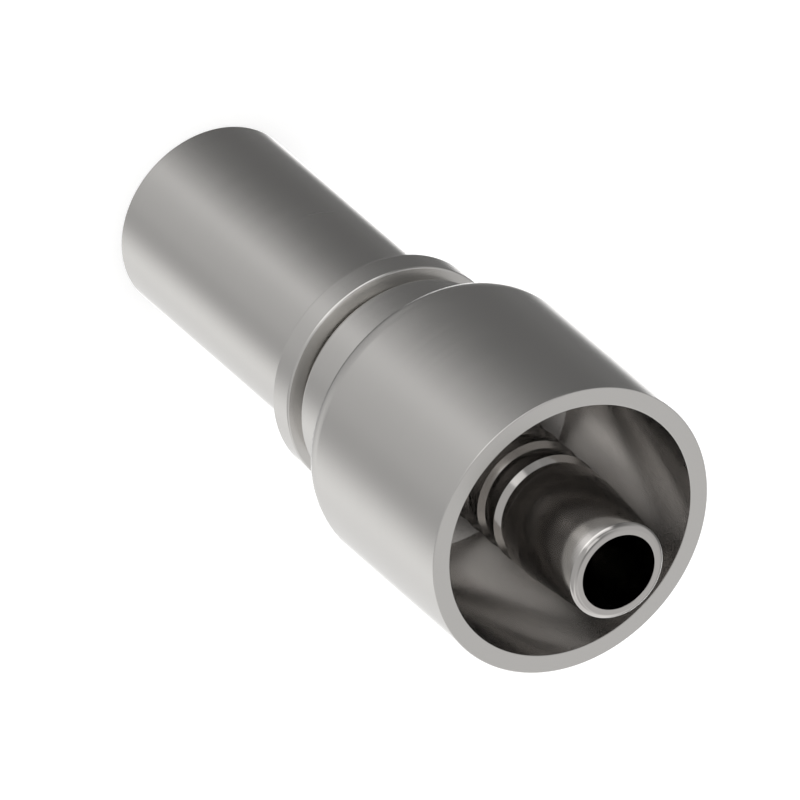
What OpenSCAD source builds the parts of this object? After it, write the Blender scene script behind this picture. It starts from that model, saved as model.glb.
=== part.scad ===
// Straight crimp hose fitting, in millimetres.
// A nipple is turned from one bar: a plain pipe stub, a collar and a barbed hose tail.
// A crimp ferrule sits on it, with a lip closed into the nipple's locking groove.
// The fitting stands on the cut end of its pipe stub, with the hose end up.

/* [Pipe stub] */
// Outside diameter of the pipe stub, which a pipe coupling grips
pipe_d = 16; // [14.5:0.1:17.5]
// Length of the pipe stub, from its cut end to the collar
pipe_len = 26.8; // [15:0.1:60]
// Diameter of the bore drilled up the pipe stub
pipe_bore_d = 11; // [8:0.1:12]
// Distance from the shoulder of that bore to the back of the collar
pipe_bore_stop = 4; // [2.5:0.1:8]
// Point angle of the drill that left the shoulder inside
drill_angle = 118; // [90:1:140]
// Edge break round the cut end, outside and inside
cut_break = 0.1; // [0.05:0.05:0.5]

/* [Collar] */
// Outside diameter of the collar
collar_d = 19.4; // [18.4:0.1:22]
// Length of the collar, from its back to the face that the ferrule seats on
collar_len = 3.1; // [1.5:0.1:8]
// Diameter of that face, which the collar's front slopes up to
collar_seat_d = 12; // [11.8:0.1:14]
// Height of that slope, from the collar's edge to the face
collar_rise = 0.84; // [0:0.02:1]
// Edge break round the collar's front
collar_break = 0.12; // [0.05:0.01:0.3]

/* [Hose tail] */
// Length of the tail, from the ferrule's seat to the tip of the nose
tail_len = 33.5; // [29:0.1:50]
// Diameter of the flow bore through the tail
flow_bore_d = 6.4; // [4:0.1:7]
// Diameter over the barb crests
barb_d = 9.45; // [9:0.05:9.9]
// Depth of a barb, from its crest to its root
barb_depth = 0.45; // [0.25:0.05:0.65]
// Distance from one barb crest to the next
barb_pitch = 2.5; // [1.5:0.1:4]
// Slope of the face in front of each crest, from the axis
barb_slope = 45; // [30:1:70]
// Length of the ramp from the first barb's root up to the nose
nose_ramp_len = 1.15; // [0.5:0.05:2]
// Diameter of the smooth nose
nose_d = 9.4; // [9:0.05:9.8]
// Length of the nose's straight part
nose_straight_len = 2.1; // [0.5:0.1:4]
// Length of the nose's taper
nose_taper_len = 7.4; // [4:0.1:9]
// Slope of the nose's taper, from the axis
nose_taper = 5; // [2:0.5:6]
// Radius round the tip of the nose
nose_round = 0.5; // [0.1:0.05:0.6]

/* [Ferrule seat] */
// Diameter of the nipple where the ferrule's neck seats
seat_d = 11; // [10.6:0.1:12]
// Length of that seat, from the collar's face
seat_len = 4.7; // [4.5:0.1:7]
// Diameter at the bottom of the locking groove
groove_d = 9.8; // [9:0.1:10.2]
// Width of the locking groove
groove_w = 1.4; // [0.8:0.1:1.8]
// Distance from the collar's face to the locking groove
groove_at = 1.7; // [0.8:0.1:2]
// Clearance between the ferrule and the nipple, all round the seat and the lip
seat_clear = 0.05; // [0.03:0.01:0.15]

/* [Ferrule] */
// Outside diameter of the ferrule's body, before crimping
body_d = 24.5; // [23:0.1:30]
// Wall of the ferrule's body
body_wall = 1.5; // [1:0.1:2]
// Length of the ferrule
ferrule_len = 26.1; // [19:0.1:27.5]
// Outside diameter of the ferrule's neck
neck_d = 18.6; // [17.5:0.1:19]
// Length of the bevel round the back of the neck
back_bevel_len = 0.5; // [0.2:0.02:0.8]
// Slope of that bevel, from the axis
back_bevel_slope = 60; // [30:1:65]
// Length from the back face up to the shoulder
neck_len = 4.1; // [3.2:0.1:6]
// Slope of the shoulder, from the axis
shoulder_slope = 45; // [35:1:55]
// Radius where the shoulder rounds into the body
shoulder_round = 3.6; // [1:0.1:5]
// Drop from the body to the edge where that rounding meets the slope
shoulder_drop = 0.22; // [0.1:0.02:0.6]
// Wall of the shoulder
shoulder_wall = 1.25; // [0.8:0.05:1.5]

/* [Hidden] */
$fn = 96;
// Overrun of a cut past the face that it opens
over = 1;
// Radii
pipe_r = pipe_d / 2;
collar_r = collar_d / 2;
collar_seat_r = collar_seat_d / 2;
seat_r = seat_d / 2;
groove_r = groove_d / 2;
barb_r = barb_d / 2;
root_r = barb_r - barb_depth;
nose_r = nose_d / 2;
tip_r = nose_r - nose_taper_len * tan(nose_taper);
body_r = body_d / 2;
neck_r = neck_d / 2;
flow_bore_r = flow_bore_d / 2;
pipe_bore_r = pipe_bore_d / 2;
// Heights on the nipple, from the cut end of the pipe stub
collar_z = pipe_len;
seat_z = collar_z + collar_len;
collar_edge_z = seat_z - collar_rise;
tip_z = seat_z + tail_len;
taper_z = tip_z - nose_taper_len;
nose_z = taper_z - nose_straight_len;
last_root_z = nose_z - nose_ramp_len;
pipe_bore_z = pipe_len - pipe_bore_stop;
drill_z = pipe_bore_z + (pipe_bore_r - flow_bore_r) / tan(drill_angle / 2);
// As many barbs as the tail holds between the seat and the nose
barb_face_len = barb_depth / tan(barb_slope);
barb_count = floor((last_root_z - seat_z - seat_len) / barb_pitch);
// The ferrule, from its own back face
back_r = neck_r - back_bevel_len * tan(back_bevel_slope);
edge_r = body_r - shoulder_drop;
edge_z = neck_len + (edge_r - neck_r) / tan(shoulder_slope);
round_r = body_r - shoulder_round;
round_z = edge_z + sqrt(pow(shoulder_round, 2) - pow(edge_r - round_r, 2));
cavity_r = body_r - body_wall;
throat_r = neck_r - body_wall;
// The shoulder's inside slopes with its outside, one shoulder wall under it
cavity_z = edge_z - (edge_r - cavity_r) / tan(shoulder_slope) + shoulder_wall / sin(shoulder_slope);
throat_z = cavity_z - (cavity_r - throat_r) / tan(shoulder_slope);
lip_z = groove_at + seat_clear;
lip_w = groove_w - 2 * seat_clear;

// Half section of the pipe stub and the collar
module stub_section() {
  polygon([
    [0, 0], [pipe_r - cut_break, 0], [pipe_r, cut_break], [pipe_r, collar_z], [collar_r, collar_z],
    [collar_r, collar_edge_z - collar_break], [collar_r - collar_break, collar_edge_z],
    [collar_seat_r, seat_z], [0, seat_z]
  ]);
}

// Half section of the seat, with the locking groove turned in it
module seat_section() {
  difference() {
    translate([0, seat_z - over]) square([seat_r, seat_len + over]);
    translate([groove_r, seat_z + groove_at]) square([seat_r, groove_w]);
  }
}

// Half section of the barbs: each rises gently to its crest and drops at once towards the nose
module barb_section() {
  first_root_z = last_root_z - barb_count * barb_pitch;
  crests = [
    for (i = [1 : barb_count]) each [
      [barb_r, first_root_z + i * barb_pitch - barb_face_len],
      [root_r, first_root_z + i * barb_pitch]
    ]
  ];
  polygon(concat([[0, seat_z], [root_r, seat_z], [root_r, first_root_z]], crests, [[0, last_root_z]]));
}

// Half section of the smooth nose, with its rounded tip
module nose_section() {
  // Centre of the tip's rounding, which touches both the taper and the end face
  centre_z = tip_z - nose_round;
  centre_r = tip_r + nose_round * tan(nose_taper) - nose_round / cos(nose_taper);
  polygon([
    [0, last_root_z - over], [root_r, last_root_z - over], [root_r, last_root_z], [nose_r, nose_z],
    [nose_r, taper_z],
    [centre_r + nose_round * cos(nose_taper), centre_z + nose_round * sin(nose_taper)],
    [centre_r, centre_z], [centre_r, tip_z], [0, tip_z]
  ]);
  translate([centre_r, centre_z]) circle(nose_round);
}

// Half section of the bores: wide up the pipe stub, a drill point, then the flow bore
module bore_section() {
  polygon([
    [0, -over], [pipe_bore_r + cut_break + over, -over], [pipe_bore_r, cut_break],
    [pipe_bore_r, pipe_bore_z], [flow_bore_r, drill_z], [flow_bore_r, tip_z + over], [0, tip_z + over]
  ]);
}

// The nipple, turned and drilled in one piece
module nipple() {
  color("#8f8c89")
  rotate_extrude()
  difference() {
    union() {
      stub_section();
      seat_section();
      barb_section();
      nose_section();
    }
    bore_section();
  }
}

// Half section of the ferrule's outside, from its own back face
module shell_section() {
  // A point on the slope, from the edge
  function on_slope(out) = [edge_r + out, edge_z + out / tan(shoulder_slope)];
  polygon([
    [0, 0], [back_r, 0], [neck_r, back_bevel_len], [neck_r, neck_len], on_slope(-shoulder_drop / 2),
    [round_r, round_z], [body_r, round_z], [body_r, ferrule_len], [0, ferrule_len]
  ]);
  // The rounding, which the slope cuts off at the edge
  intersection() {
    translate([round_r, round_z]) circle(shoulder_round);
    polygon([[round_r, round_z], [neck_r, neck_len], on_slope(shoulder_drop), [body_r, round_z]]);
  }
}

// Half section of the ferrule's inside: the hose space, then the neck's bore with its lip
module cavity_section() {
  neck_bore_r = seat_r + seat_clear;
  polygon([
    [0, throat_z], [throat_r, throat_z], [cavity_r, cavity_z], [cavity_r, ferrule_len + over],
    [0, ferrule_len + over]
  ]);
  difference() {
    translate([0, -over]) square([neck_bore_r, throat_z + 2 * over]);
    translate([groove_r + seat_clear, lip_z]) square([seat_r, lip_w]);
  }
}

// The crimp ferrule, seated on the collar's face with its lip in the locking groove
module ferrule() {
  color("#a3a09d")
  translate([0, 0, seat_z])
  rotate_extrude()
  difference() {
    shell_section();
    cavity_section();
  }
}

nipple();
ferrule();
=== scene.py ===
"""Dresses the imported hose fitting: turned steel pieces, a white studio floor and the studio light.

Blender 4.5, run as a script. The sizes and colours stand in property groups, one operator makes each
piece, and the panel in the sidebar lists them.
"""

import math

import bmesh
import bpy
from mathutils import Matrix, Vector


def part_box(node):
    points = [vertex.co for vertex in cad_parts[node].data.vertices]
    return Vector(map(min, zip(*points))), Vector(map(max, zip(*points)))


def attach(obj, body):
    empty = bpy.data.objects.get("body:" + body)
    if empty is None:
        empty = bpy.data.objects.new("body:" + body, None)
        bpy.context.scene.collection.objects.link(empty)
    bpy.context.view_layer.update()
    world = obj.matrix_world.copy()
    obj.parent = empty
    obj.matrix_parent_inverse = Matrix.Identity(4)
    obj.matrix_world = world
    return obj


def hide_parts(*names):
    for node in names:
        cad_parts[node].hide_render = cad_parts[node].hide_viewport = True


bl_info = {
    "name": "Straight crimp hose fitting",
    "version": (1, 0, 0),
    "blender": (4, 5, 0),
    "location": "3D View > Sidebar > Hose fitting",
    "description": "Turns the nipple and the ferrule of a crimp hose fitting and sets its studio",
    "category": "Object",
}

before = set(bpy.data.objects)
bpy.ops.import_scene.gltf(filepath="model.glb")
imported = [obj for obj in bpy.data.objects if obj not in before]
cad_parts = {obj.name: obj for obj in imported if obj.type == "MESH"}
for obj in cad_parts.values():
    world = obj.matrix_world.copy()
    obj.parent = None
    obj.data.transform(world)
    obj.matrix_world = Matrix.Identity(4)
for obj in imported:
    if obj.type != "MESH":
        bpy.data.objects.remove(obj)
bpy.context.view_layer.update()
NIPPLE_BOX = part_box("nipple")
FERRULE_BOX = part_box("ferrule")

MM = 0.001
# Facets round the axis, fine enough that no outline shows them
FACETS = 144
# Widest turn, in radians, between two facets of a rounding
ARC_STEP = math.radians(6)
# Distance from a rounding at which a guard ring keeps the face beside it flat
GUARD = 0.02 * MM
# Points of a mesh that are closer than this become one
MERGE = 0.001 * MM
# Millimetres by which the turned body's diameter stays inside the solid's
SPARE = 0.002
# Share of the shoulder's rounding that is drawn, so that it ends a hair short of the shoulder's edge
ROUNDING_DRAWN = 0.99
# Reflections that one ray may take. Light gets into the hose space only by many of them
BOUNCES = 5


def millimetres(name, size, about):
    """A length property with its default in millimetres."""
    return bpy.props.FloatProperty(
        name=name, description=about, default=size * MM, min=0, unit="LENGTH", precision=5
    )


def degrees(name, angle, about):
    """An angle property with its default in degrees."""
    return bpy.props.FloatProperty(
        name=name, description=about, default=math.radians(angle), subtype="ANGLE"
    )


def hex_colour(name, code, about):
    """A colour property with its default as an sRGB hex value."""
    return bpy.props.FloatVectorProperty(
        name=name, description=about, default=linear(code), size=3, min=0, max=1, subtype="COLOR"
    )


def share(name, value, about):
    """A property from nothing to one."""
    return bpy.props.FloatProperty(
        name=name, description=about, default=value, min=0, max=1, subtype="FACTOR"
    )


def linear(code):
    """Turns an sRGB hex value such as #a3a09d into linear red, green and blue."""
    parts = [int(code[i : i + 2], 16) / 255 for i in (1, 3, 5)]
    return tuple(c / 12.92 if c <= 0.04045 else ((c + 0.055) / 1.055) ** 2.4 for c in parts)


class NippleSizes(bpy.types.PropertyGroup):
    """Sizes of the turned nipple."""

    length: millimetres("Length", NIPPLE_BOX[1].z / MM, "From the cut end to the tip of the nose")
    pipe_diameter: millimetres("Pipe diameter", 16, "Outside diameter of the pipe stub")
    pipe_length: millimetres("Pipe length", 26.8, "From the cut end to the collar")
    pipe_bore: millimetres("Pipe bore", 11, "Diameter of the bore up the pipe stub")
    pipe_bore_depth: millimetres("Pipe bore depth", 22.8, "Depth of that bore")
    drill_point: degrees("Drill point", 118, "Point angle of the drill that joins the two bores")
    collar_diameter: millimetres("Collar diameter", 19.4, "Outside diameter of the collar")
    collar_rise: millimetres("Collar rise", 0.84, "Height of the slope round the collar's front")
    collar_seat: millimetres("Collar seat", 12, "Diameter of the face that the ferrule seats on")
    collar_edge: millimetres("Collar edge", 0.2, "Radius left round the collar's front")
    seat_diameter: millimetres("Seat diameter", 11, "Diameter that the ferrule's neck seats on")
    seat_length: millimetres("Seat length", 4.7, "Length of that seat")
    groove_diameter: millimetres("Groove diameter", 9.8, "Diameter in the locking groove")
    groove_start: millimetres("Groove start", 1.7, "From the collar's face to the locking groove")
    groove_width: millimetres("Groove width", 1.4, "Width of the locking groove")
    flow_bore: millimetres("Flow bore", 6.4, "Diameter of the bore through the hose tail")
    barb_diameter: millimetres("Barb diameter", 9.45, "Diameter over the barb crests")
    barb_depth: millimetres("Barb depth", 0.45, "From a crest to its root")
    barb_pitch: millimetres("Barb pitch", 2.5, "From one crest to the next")
    barb_ramp: millimetres("Ramp", 1.15, "From the first barb's root up to the nose")
    nose_diameter: millimetres("Nose diameter", 9.4, "Diameter of the smooth nose")
    nose_straight: millimetres("Nose straight", 2.1, "Length of the nose's straight part")
    nose_taper_length: millimetres("Nose taper", 7.4, "Length of the nose's taper")
    nose_rounding: millimetres("Nose rounding", 0.5, "Radius round the tip of the nose")
    nose_taper: degrees("Nose taper angle", 5, "Slope of the nose's taper, from the axis")
    cut_edge: millimetres("Cut edge", 0.1, "Radius round the cut end and the collar's back")
    barb_edge: millimetres("Barb edge", 0.025, "Radius left on each barb's crest")
    taper_edge: millimetres("Taper edge", 0.4, "Radius where the nose starts to taper")
    edge: millimetres("Edge", 0.05, "Radius left on every other edge")


class FerruleSizes(bpy.types.PropertyGroup):
    """Sizes of the turned crimp ferrule."""

    back: millimetres("Back", FERRULE_BOX[0].z / MM, "Height of the ferrule's back face")
    mouth: millimetres("Mouth", FERRULE_BOX[1].z / MM, "Height of the ferrule's mouth")
    body_diameter: millimetres(
        "Body diameter", 2 * FERRULE_BOX[1].y / MM - SPARE, "Outside diameter of the body"
    )
    wall: millimetres("Wall", 1.5, "Wall of the body and the neck")
    neck_diameter: millimetres("Neck diameter", 18.6, "Outside diameter of the neck")
    back_bevel: millimetres("Back bevel", 0.5, "Length of the bevel round the back of the neck")
    back_bevel_slope: degrees("Back bevel slope", 60, "Slope of that bevel, from the axis")
    back_edge: millimetres("Back edge", 0.4, "Radius where that bevel meets the neck")
    neck_length: millimetres("Neck length", 4.1, "Length from the back face up to the shoulder")
    shoulder_slope: degrees("Shoulder slope", 45, "Slope of the shoulder, from the axis")
    shoulder_drop: millimetres("Shoulder drop", 0.22, "From the body down to the shoulder's edge")
    shoulder_rounding: millimetres("Shoulder rounding", 3.6, "Radius into the body")
    shoulder_wall: millimetres("Shoulder wall", 1.25, "Wall of the shoulder")
    neck_bore: millimetres("Neck bore", 11.1, "Diameter of the neck's bore")
    lip_bore: millimetres("Lip bore", 9.9, "Diameter inside the locking lip")
    lip_start: millimetres("Lip start", 1.75, "From the back face to the lip")
    lip_width: millimetres("Lip width", 1.3, "Width of the lip")
    mouth_edge: millimetres("Mouth edge", 0.075, "Radius round the mouth")
    edge: millimetres("Edge", 0.05, "Radius left on every other edge")


class SteelFinish(bpy.types.PropertyGroup):
    """Colours and polish of the steel."""

    outside_colour: hex_colour("Outside", "#cac8c5", "Colour of the turned outside")
    outside_roughness: share("Outside roughness", 0.25, "Roughness of the turned outside")
    # The hose tail's colour is the same steel made darker: painted shade
    tail_colour_painted_darker: hex_colour("Hose tail", "#bebbb8", "Colour of the hose tail")
    tail_roughness: share("Hose tail roughness", 0.1, "Roughness of the hose tail")
    # The bore's colour is the same steel made lighter: painted light for the hose space
    bore_colour_painted_lighter: hex_colour("Ferrule bore", "#dbd9d7", "Colour of the ferrule's bore")
    bore_roughness: share("Ferrule bore roughness", 0.2, "Roughness of the ferrule's bore")
    feed: millimetres("Feed", 0.11, "Distance from one ring of the turning tool to the next")
    ring_height: millimetres("Ring height", 0.0002, "Height of those rings")
    patch: millimetres("Patch", 8, "Length of the slow changes of polish along the bar")
    spread: share("Spread", 0.2, "How far the polish strays, as a share of the roughness")


def add_node(tree, kind, inputs=None, **settings):
    """Adds a node with its settings, and gives each named input a value or a link."""
    made = tree.nodes.new(kind)
    for name, value in settings.items():
        setattr(made, name, value)
    for name, value in (inputs or {}).items():
        if isinstance(value, bpy.types.NodeSocket):
            tree.links.new(value, made.inputs[name])
        else:
            made.inputs[name].default_value = value
    return made


def turned_steel(name, colour, roughness, finish):
    """Stainless steel, turned on a lathe: a satin mirror with faint rings left by the tool's feed."""
    material = bpy.data.materials.new(name)
    material.use_nodes = True
    tree = material.node_tree
    shader = tree.nodes["Principled BSDF"]
    shader.inputs["Base Color"].default_value = (*colour, 1)
    shader.inputs["Metallic"].default_value = 1
    # The rings run round the axis, on the cylinders and on the faces alike
    place = add_node(tree, "ShaderNodeTexCoord").outputs["Object"]
    apart = add_node(tree, "ShaderNodeSeparateXYZ", {0: place}).outputs
    across = add_node(tree, "ShaderNodeCombineXYZ", {"X": apart["X"], "Y": apart["Y"]}).outputs[0]
    radius = add_node(tree, "ShaderNodeVectorMath", {0: across}, operation="LENGTH").outputs["Value"]
    section = add_node(tree, "ShaderNodeCombineXYZ", {"X": radius, "Y": apart["Z"]}).outputs[0]
    rings = add_node(
        tree,
        "ShaderNodeTexNoise",
        {"Vector": section, "Scale": 1 / finish.feed, "Detail": 1.0},
        noise_dimensions="2D",
    ).outputs["Fac"]
    patches = add_node(
        tree, "ShaderNodeTexNoise", {"Vector": place, "Scale": 1 / finish.patch, "Detail": 2.0}
    ).outputs["Fac"]
    # The rings and the patches, each up to one, add up to two at most
    both = add_node(tree, "ShaderNodeMath", {0: rings, 1: patches}).outputs[0]
    polish = add_node(
        tree,
        "ShaderNodeMapRange",
        {
            "Value": both,
            "From Max": 2.0,
            "To Min": (1 - finish.spread) * roughness,
            "To Max": (1 + finish.spread) * roughness,
        },
    ).outputs["Result"]
    tree.links.new(polish, shader.inputs["Roughness"])
    relief = add_node(tree, "ShaderNodeBump", {"Height": rings, "Distance": finish.ring_height})
    tree.links.new(relief.outputs["Normal"], shader.inputs["Normal"])
    return material


def half_section(bm, corners):
    """Draws a closed half section through corners of (radius, height, rounding), in metres."""
    points = [Vector((radius, 0, height)) for radius, height, _ in corners]
    first = last = None
    for i, (corner, (_, _, rounding)) in enumerate(zip(points, corners)):
        back = (points[i - 1] - corner).normalized()
        on = (points[(i + 1) % len(points)] - corner).normalized()
        half = back.angle(on) / 2
        start = bm.verts.new(corner + back * rounding / math.tan(half))
        turn = math.pi - 2 * half
        arc = bmesh.ops.spin(
            bm,
            geom=[start],
            cent=corner + (back + on).normalized() * rounding / math.sin(half),
            axis=on.cross(back).normalized(),
            angle=turn,
            steps=max(2, math.ceil(turn / ARC_STEP)),
        )
        end = next(g for g in arc["geom_last"] if isinstance(g, bmesh.types.BMVert))
        if last:
            join_straight(bm, last, start)
        first, last = first or start, end
    join_straight(bm, last, first)


def join_straight(bm, start, end):
    """Joins two points of a section, with a guard ring near each end of a long edge."""
    gap = end.co - start.co
    chain = [start]
    if gap.length > 4 * GUARD:
        step = gap.normalized() * GUARD
        chain += [bm.verts.new(start.co + step), bm.verts.new(end.co - step)]
    chain.append(end)
    for one, other in zip(chain, chain[1:]):
        bm.edges.new((one, other))


def turn_piece(name, node, corners, outside, inside, is_inside):
    """Turns a half section round the axis into a piece that stands for a CAD node.

    The faces whose radius and height is_inside accepts take the second material.
    """
    bm = bmesh.new()
    half_section(bm, corners)
    bmesh.ops.spin(
        bm,
        geom=bm.verts[:] + bm.edges[:],
        cent=(0, 0, 0),
        axis=(0, 0, 1),
        angle=math.tau,
        steps=FACETS,
        use_merge=True,
    )
    bmesh.ops.remove_doubles(bm, verts=bm.verts[:], dist=MERGE)
    bmesh.ops.recalc_face_normals(bm, faces=bm.faces[:])
    for face in bm.faces:
        face.smooth = True
        middle = face.calc_center_median()
        face.material_index = int(is_inside(middle.xy.length, middle.z))
    mesh = bpy.data.meshes.new(name)
    bm.to_mesh(mesh)
    bm.free()
    mesh.materials.append(outside)
    mesh.materials.append(inside)
    piece = bpy.data.objects.new(name, mesh)
    bpy.context.scene.collection.objects.link(piece)
    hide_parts(node)
    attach(piece, "root")


class HOSEFITTING_OT_turn_nipple(bpy.types.Operator):
    """Turns the nipple: pipe stub, collar, barbed hose tail and bores"""

    bl_idname = "hose_fitting.turn_nipple"
    bl_label = "Turn nipple"

    def execute(self, context):
        s, finish = context.scene.nipple_sizes, context.scene.steel_finish
        edge = s.edge
        pipe, collar, seat = s.pipe_diameter / 2, s.collar_diameter / 2, s.seat_diameter / 2
        barb, nose, flow = s.barb_diameter / 2, s.nose_diameter / 2, s.flow_bore / 2
        groove, bore = s.groove_diameter / 2, s.pipe_bore / 2
        root = barb - s.barb_depth
        seat_z = FERRULE_BOX[0].z
        taper_z = s.length - s.nose_taper_length
        nose_z = taper_z - s.nose_straight
        root_z = nose_z - s.barb_ramp
        tip = nose - s.nose_taper_length * math.tan(s.nose_taper)
        seat_end = seat_z + s.seat_length
        barbs = int((root_z - seat_end) / s.barb_pitch)
        drill_z = s.pipe_bore_depth + (bore - flow) / math.tan(s.drill_point / 2)
        corners = [
            (bore, 0, edge),
            (pipe, 0, s.cut_edge),
            (pipe, s.pipe_length, edge),
            (collar, s.pipe_length, s.cut_edge),
            (collar, seat_z - s.collar_rise, s.collar_edge),
            (s.collar_seat / 2, seat_z, edge),
            (seat, seat_z, edge),
            (seat, seat_z + s.groove_start, edge),
            (groove, seat_z + s.groove_start, edge),
            (groove, seat_z + s.groove_start + s.groove_width, edge),
            (seat, seat_z + s.groove_start + s.groove_width, edge),
            (seat, seat_end, edge),
            (root, seat_end, edge),
            (root, root_z - barbs * s.barb_pitch, edge),
        ]
        for left in reversed(range(barbs)):
            height = root_z - left * s.barb_pitch
            # The face in front of a crest drops at 45 degrees, so it is as long as the barb is deep
            corners += [(barb, height - s.barb_depth, s.barb_edge), (root, height, s.barb_edge)]
        corners += [
            (nose, nose_z, edge),
            (nose, taper_z, s.taper_edge),
            (tip, s.length, s.nose_rounding),
            (flow, s.length, edge),
            (flow, drill_z, edge),
            (bore, s.pipe_bore_depth, edge),
        ]
        # Satin: the tool's feed blurs what the pipe mirrors into soft bands along it
        satin = turned_steel(
            "satin_turned_stainless_steel", finish.outside_colour, finish.outside_roughness, finish
        )
        # Bright: turned finer, so that the hose tail mirrors the dark bore round it and its barbs glint.
        # Its colour is darker than the outside's: the same steel with painted shade on the hose tail
        tail_painted_darker = turned_steel(
            "tail_steel_painted_darker", finish.tail_colour_painted_darker, finish.tail_roughness, finish
        )
        turn_piece(
            "nipple_turned", "nipple", corners, satin, tail_painted_darker, lambda r, z: z > seat_end
        )
        return {"FINISHED"}


class HOSEFITTING_OT_turn_ferrule(bpy.types.Operator):
    """Turns the crimp ferrule: neck with its locking lip, shoulder and thin body"""

    bl_idname = "hose_fitting.turn_ferrule"
    bl_label = "Turn ferrule"

    def execute(self, context):
        s, finish = context.scene.ferrule_sizes, context.scene.steel_finish
        edge = s.edge
        body, neck = s.body_diameter / 2, s.neck_diameter / 2
        bore, lip = s.neck_bore / 2, s.lip_bore / 2
        cavity, throat = body - s.wall, neck - s.wall
        back = neck - s.back_bevel * math.tan(s.back_bevel_slope)
        # The shoulder slopes up to an edge, and rounds from there into the body
        slope = math.tan(s.shoulder_slope)
        neck_z = s.back + s.neck_length
        shoulder = body - s.shoulder_drop
        shoulder_z = neck_z + (shoulder - neck) / slope
        arc = math.acos(1 - s.shoulder_drop / s.shoulder_rounding)
        round_z = shoulder_z + s.shoulder_rounding * (math.sin(arc) - math.tan(arc / 2))
        # Its inside slopes with it, one shoulder wall under it
        wall_z = s.shoulder_wall / math.sin(s.shoulder_slope)
        cavity_z = shoulder_z - (shoulder - cavity) / slope + wall_z
        throat_z = cavity_z - (cavity - throat) / slope
        lip_z = s.back + s.lip_start
        corners = [
            (bore, s.back, edge),
            (back, s.back, edge),
            (neck, s.back + s.back_bevel, s.back_edge),
            (neck, neck_z, edge),
            (shoulder, shoulder_z, edge),
            (body, round_z, ROUNDING_DRAWN * s.shoulder_rounding),
            (body, s.mouth, s.mouth_edge),
            (cavity, s.mouth, s.mouth_edge),
            (cavity, cavity_z, edge),
            (throat, throat_z, edge),
            (bore, throat_z, edge),
            (bore, lip_z + s.lip_width, edge),
            (lip, lip_z + s.lip_width, edge),
            (lip, lip_z, edge),
            (bore, lip_z, edge),
        ]
        # Satin, as on the nipple, so that both pieces mirror the studio alike
        satin = turned_steel(
            "fine_turned_stainless_steel", finish.outside_colour, finish.outside_roughness, finish
        )
        # Bored fine: it mirrors the hose tail and the shoulder as soft streaks down the bore. Its colour
        # is lighter than the outside's: the same steel with painted light, which makes up for the light
        # that the few reflections lose in the hose space
        bore_painted_lighter = turned_steel(
            "bore_steel_painted_lighter", finish.bore_colour_painted_lighter, finish.bore_roughness, finish
        )
        turn_piece(
            "ferrule_turned",
            "ferrule",
            corners,
            satin,
            bore_painted_lighter,
            # The hose space, up to just under the rounding of the mouth
            lambda r, z: throat_z < z < s.mouth - 2 * edge and r < cavity + edge,
        )
        return {"FINISHED"}


# The photograph shows the fitting lying down, turned out of the picture towards the camera and looked down
# on. The hose tail points to the lower right
LYING_TURN = math.radians(60)
LOOKED_DOWN = math.radians(30)
# Width of the picture, and how far its middle lies to the right of the mouth's centre and above it
PICTURE_WIDTH = 61.69 * MM
MIDDLE_RIGHT = -13.143 * MM
MIDDLE_UP = 10.069 * MM
# A long lens stands for the photograph's parallel view. It and the sensor are in millimetres
LENS = 1700
SENSOR = 36

# The floor reaches this many metres each way, and lies a hair under the cut end
FLOOR_REACH = 20
FLOOR_GAP = 0.01 * MM
FLOOR_COLOUR = "#e7e7e7"
# A little glow of its own keeps the floor white round the fitting
FLOOR_GLOW = 0.4

# Soft boxes of the studio that the steel mirrors. Each has the bearing of its middle, in degrees from the
# front towards the right, and its height, from -1 straight below to 1 straight above. Then come its half
# width, its half height and the softness of its edges, as shares of its distance, and its brightness,
# where a white backdrop is 1
SOFT_BOXES = {
    "key strip": (-20, -0.40, 0.50, 0.20, 0.25, 1.60),
    "lamp by the camera": (-10, 0.80, 0.20, 0.40, 0.05, 0.60),
    "side wall": (130, -0.30, 0.55, 0.75, 0.15, 0.80),
    "low front": (15, -0.85, 0.45, 0.45, 0.20, 0.35),
    "ceiling": (210, 0.65, 0.80, 0.60, 0.30, 0.50),
    "high front": (50, 0.40, 0.70, 0.80, 0.20, 0.45),
    "backdrop behind": (185, -0.70, 0.20, 0.40, 0.10, 2.10),
    "left lamp": (-25, 0.05, 0.50, 0.35, 0.10, 1.00),
}
# Brightness of the unlit rest of the studio
DARK_SIDE = 0.17


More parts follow.
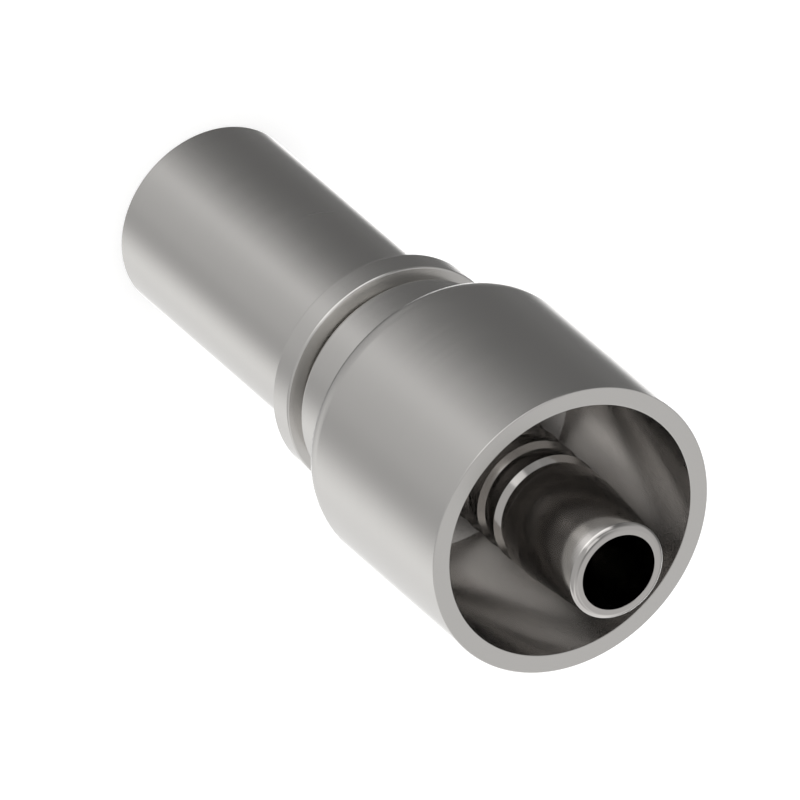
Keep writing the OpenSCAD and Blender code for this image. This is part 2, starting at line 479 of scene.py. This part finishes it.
class HOSEFITTING_OT_set_studio(bpy.types.Operator):
    """Sets the white floor, the studio light and the camera"""

    bl_idname = "hose_fitting.set_studio"
    bl_label = "Set studio"

    def execute(self, context):
        self.add_floor(context.scene)
        self.add_world(context.scene)
        self.add_camera(context.scene)
        context.scene.view_settings.view_transform = "Standard"
        context.scene.cycles.glossy_bounces = BOUNCES
        return {"FINISHED"}

    def add_floor(self, scene):
        """Lays a floor of matt white paper, which scatters light evenly and has no shine."""
        bm = bmesh.new()
        under = Matrix.Translation((0, 0, -FLOOR_GAP))
        bmesh.ops.create_grid(bm, x_segments=1, y_segments=1, size=FLOOR_REACH, matrix=under)
        mesh = bpy.data.meshes.new("floor")
        bm.to_mesh(mesh)
        bm.free()
        floor = bpy.data.objects.new("floor", mesh)
        scene.collection.objects.link(floor)
        # The steel mirrors the soft boxes alone
        floor.visible_glossy = False
        material = bpy.data.materials.new("matt_white_paper")
        material.use_nodes = True
        tree = material.node_tree
        shader = tree.nodes["Principled BSDF"]
        shader.inputs["Base Color"].default_value = (*linear(FLOOR_COLOUR), 1)
        shader.inputs["Roughness"].default_value = 1
        shader.inputs["Specular IOR Level"].default_value = 0
        shader.inputs["Emission Color"].default_value = (1, 1, 1, 1)
        shader.inputs["Emission Strength"].default_value = FLOOR_GLOW
        mesh.materials.append(material)

    def add_world(self, scene):
        """Surrounds the fitting with plain white, where only the steel mirrors the soft boxes."""
        world = bpy.data.worlds.new("studio")
        scene.world = world
        world.use_nodes = True
        world.cycles.sampling_method = "NONE"
        tree = world.node_tree
        direction = add_node(tree, "ShaderNodeTexCoord").outputs["Generated"]
        total = DARK_SIDE
        for box in SOFT_BOXES.values():
            glow = self.soft_box(tree, direction, *box)
            total = add_node(tree, "ShaderNodeMath", {0: glow, 1: total}).outputs[0]
        path = add_node(tree, "ShaderNodeLightPath")
        seen = add_node(
            tree,
            "ShaderNodeMix",
            {"Factor": path.outputs["Is Glossy Ray"], "A": 1.0, "B": total},
            data_type="FLOAT",
        )
        background = tree.nodes["Background"]
        tree.links.new(seen.outputs["Result"], background.inputs["Strength"])
        background.inputs["Color"].default_value = (1, 1, 1, 1)

    def soft_box(self, tree, direction, bearing, height, half_width, half_height, softness, strength):
        """Adds the nodes of one soft box and returns its brightness in a direction."""
        turn = math.radians(bearing)
        level = math.sqrt(1 - height * height)
        middle = Vector((level * math.sin(turn), -level * math.cos(turn), height))
        across = Vector((math.cos(turn), math.sin(turn), 0))
        glow = strength
        for axis, half in ((across, half_width), (middle.cross(across), half_height)):
            side = add_node(
                tree, "ShaderNodeVectorMath", {0: direction, 1: axis}, operation="DOT_PRODUCT"
            )
            size = add_node(tree, "ShaderNodeMath", {0: side.outputs["Value"]}, operation="ABSOLUTE")
            fade = add_node(
                tree,
                "ShaderNodeMapRange",
                {"Value": size.outputs[0], "From Min": half + softness, "From Max": half - softness},
                interpolation_type="SMOOTHSTEP",
            )
            glow = add_node(
                tree, "ShaderNodeMath", {0: fade.outputs["Result"], 1: glow}, operation="MULTIPLY"
            ).outputs[0]
        ahead = add_node(
            tree, "ShaderNodeVectorMath", {0: direction, 1: middle}, operation="DOT_PRODUCT"
        )
        front = add_node(
            tree, "ShaderNodeMath", {0: ahead.outputs["Value"], 1: 0.0}, operation="GREATER_THAN"
        )
        return add_node(
            tree, "ShaderNodeMath", {0: glow, 1: front.outputs[0]}, operation="MULTIPLY"
        ).outputs[0]

    def add_camera(self, scene):
        """Stands the camera at the photograph's angle."""
        data = bpy.data.cameras.new("camera")
        camera = bpy.data.objects.new("camera", data)
        scene.collection.objects.link(camera)
        scene.camera = camera
        data.sensor_width = SENSOR
        data.lens = LENS
        # How far the hose tail points to the right, up and towards the camera
        right = math.cos(LYING_TURN)
        up = -math.sin(LYING_TURN) * math.sin(LOOKED_DOWN)
        towards = math.sin(LYING_TURN) * math.cos(LOOKED_DOWN)
        mouth = Matrix.Translation((0, 0, FERRULE_BOX[1].z))
        tilt = Matrix.Rotation(math.acos(towards), 4, "X")
        roll = Matrix.Rotation(math.atan2(right, up), 4, "Z")
        distance = PICTURE_WIDTH * LENS / SENSOR
        camera.matrix_world = mouth @ tilt @ roll @ Matrix.Translation((MIDDLE_RIGHT, MIDDLE_UP, distance))


class HOSEFITTING_PT_panel(bpy.types.Panel):
    """Lists the fitting's pieces in the sidebar"""

    bl_idname = "HOSEFITTING_PT_panel"
    bl_label = "Hose fitting"
    bl_space_type = "VIEW_3D"
    bl_region_type = "UI"
    bl_category = "Hose fitting"

    def draw(self, context):
        for operator in OPERATORS:
            self.layout.operator(operator.bl_idname)


OPERATORS = (HOSEFITTING_OT_turn_nipple, HOSEFITTING_OT_turn_ferrule, HOSEFITTING_OT_set_studio)
CLASSES = (NippleSizes, FerruleSizes, SteelFinish, *OPERATORS, HOSEFITTING_PT_panel)


def register():
    """Registers the classes and hangs the property groups on the scene."""
    for cls in CLASSES:
        bpy.utils.register_class(cls)
    bpy.types.Scene.nipple_sizes = bpy.props.PointerProperty(type=NippleSizes)
    bpy.types.Scene.ferrule_sizes = bpy.props.PointerProperty(type=FerruleSizes)
    bpy.types.Scene.steel_finish = bpy.props.PointerProperty(type=SteelFinish)


def unregister():
    """Takes the property groups and the classes away again."""
    del bpy.types.Scene.steel_finish
    del bpy.types.Scene.ferrule_sizes
    del bpy.types.Scene.nipple_sizes
    for cls in reversed(CLASSES):
        bpy.utils.unregister_class(cls)


def main():
    """Registers the classes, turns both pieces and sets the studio."""
    register()
    bpy.ops.hose_fitting.turn_nipple()
    bpy.ops.hose_fitting.turn_ferrule()
    bpy.ops.hose_fitting.set_studio()


if __name__ == "__main__":
    main()
